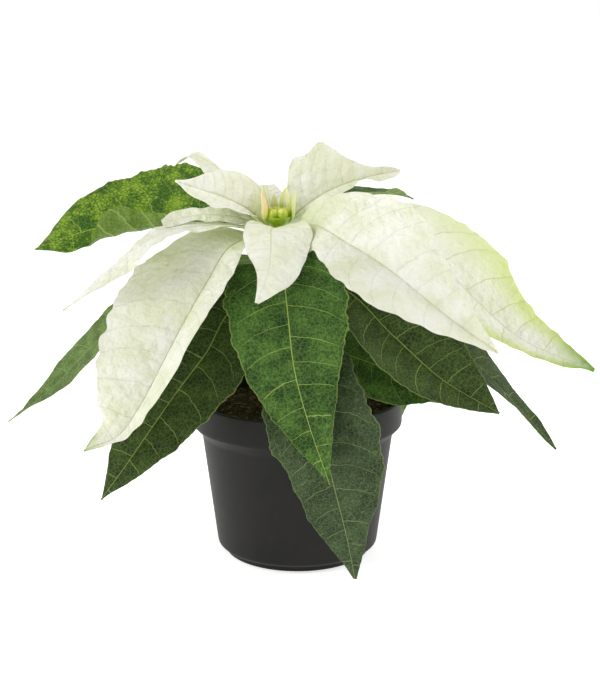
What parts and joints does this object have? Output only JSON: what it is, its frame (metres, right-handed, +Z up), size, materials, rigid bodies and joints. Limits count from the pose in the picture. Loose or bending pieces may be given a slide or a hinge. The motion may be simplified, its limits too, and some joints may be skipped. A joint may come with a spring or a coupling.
{
  "type": "potted poinsettia",
  "caption": "White poinsettia in a round dark plastic nursery pot: creamy bracts in a star round green buds, over toothed green leaves on petioles",
  "frame": {"origin": "the middle of the pot's underside, on the surface that it stands on", "axes": "Z up the plant, X across its widest spread with the long bract and its green tip towards +X, -Y towards the side that the picture shows"},
  "size_m": [0.3234, 0.189, 0.234],
  "materials": {
    "pot_plastic": "matt",
    "potting_soil": "matt",
    "stem_green": "satin",
    "bud_green": "satin",
    "leaf_green": "satin",
    "bract_cream": "satin",
    "young_bract": "satin"
  },
  "bodies": {
    "root": {"pot": "pot_plastic", "soil": "potting_soil", "stem": "stem_green", "flower_buds": "bud_green", "leaf_front": "leaf_green", "leaf_low_front": "leaf_green", "leaf_front_left": "leaf_green", "leaf_left": "leaf_green", "leaf_back_left": "leaf_green", "leaf_front_right": "leaf_green", "leaf_right": "leaf_green", "leaf_low_right": "leaf_green", "leaf_back_right": "leaf_green", "leaf_back": "leaf_green", "leaf_low_back": "leaf_green", "leaf_low_left": "leaf_green", "bract_front": "bract_cream", "bract_front_left": "bract_cream", "bract_left": "bract_cream", "bract_upper_left": "bract_cream", "bract_back_left": "bract_cream", "bract_back_small": "bract_cream", "bract_upper_right": "bract_cream", "bract_front_right": "bract_cream", "bract_right": "bract_cream", "bract_left_small": "bract_cream", "bract_back": "bract_cream", "bract_back_right": "bract_cream", "young_bract_1": "young_bract", "young_bract_2": "young_bract", "young_bract_3": "young_bract", "young_bract_4": "young_bract", "young_bract_5": "young_bract"}
  },
  "joints": []
}
